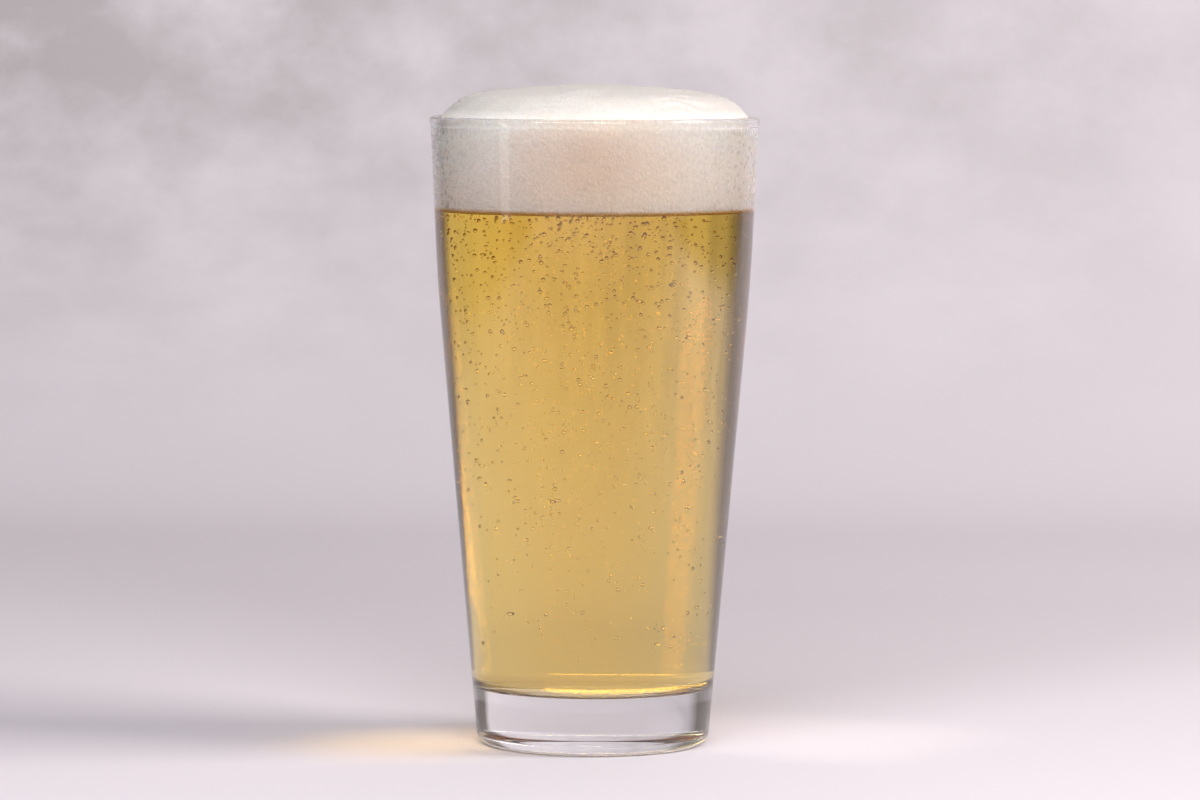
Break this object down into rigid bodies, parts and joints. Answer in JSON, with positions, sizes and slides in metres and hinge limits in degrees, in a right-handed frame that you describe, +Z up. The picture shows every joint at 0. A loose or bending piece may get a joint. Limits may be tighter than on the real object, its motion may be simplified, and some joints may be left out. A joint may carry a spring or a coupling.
{
  "type": "pint of beer",
  "caption": "Full pint glass of golden beer: tall straight-sided glass with a thick clear foot, and a head of white foam that domes over the rim.",
  "frame": {"origin": "centre of the glass's foot, on the face it stands on", "axes": "+Z up along the axis of the glass; the glass is turned about it, so X and Y are alike"},
  "size_m": [0.0848, 0.0848, 0.1701],
  "materials": {
    "glass": "clear polished glass",
    "beer": "clear golden liquid",
    "foam": "wet cream-white foam"
  },
  "bodies": {
    "root": {"glass": "glass", "beer": "beer", "foam_head": "foam"}
  },
  "joints": []
}
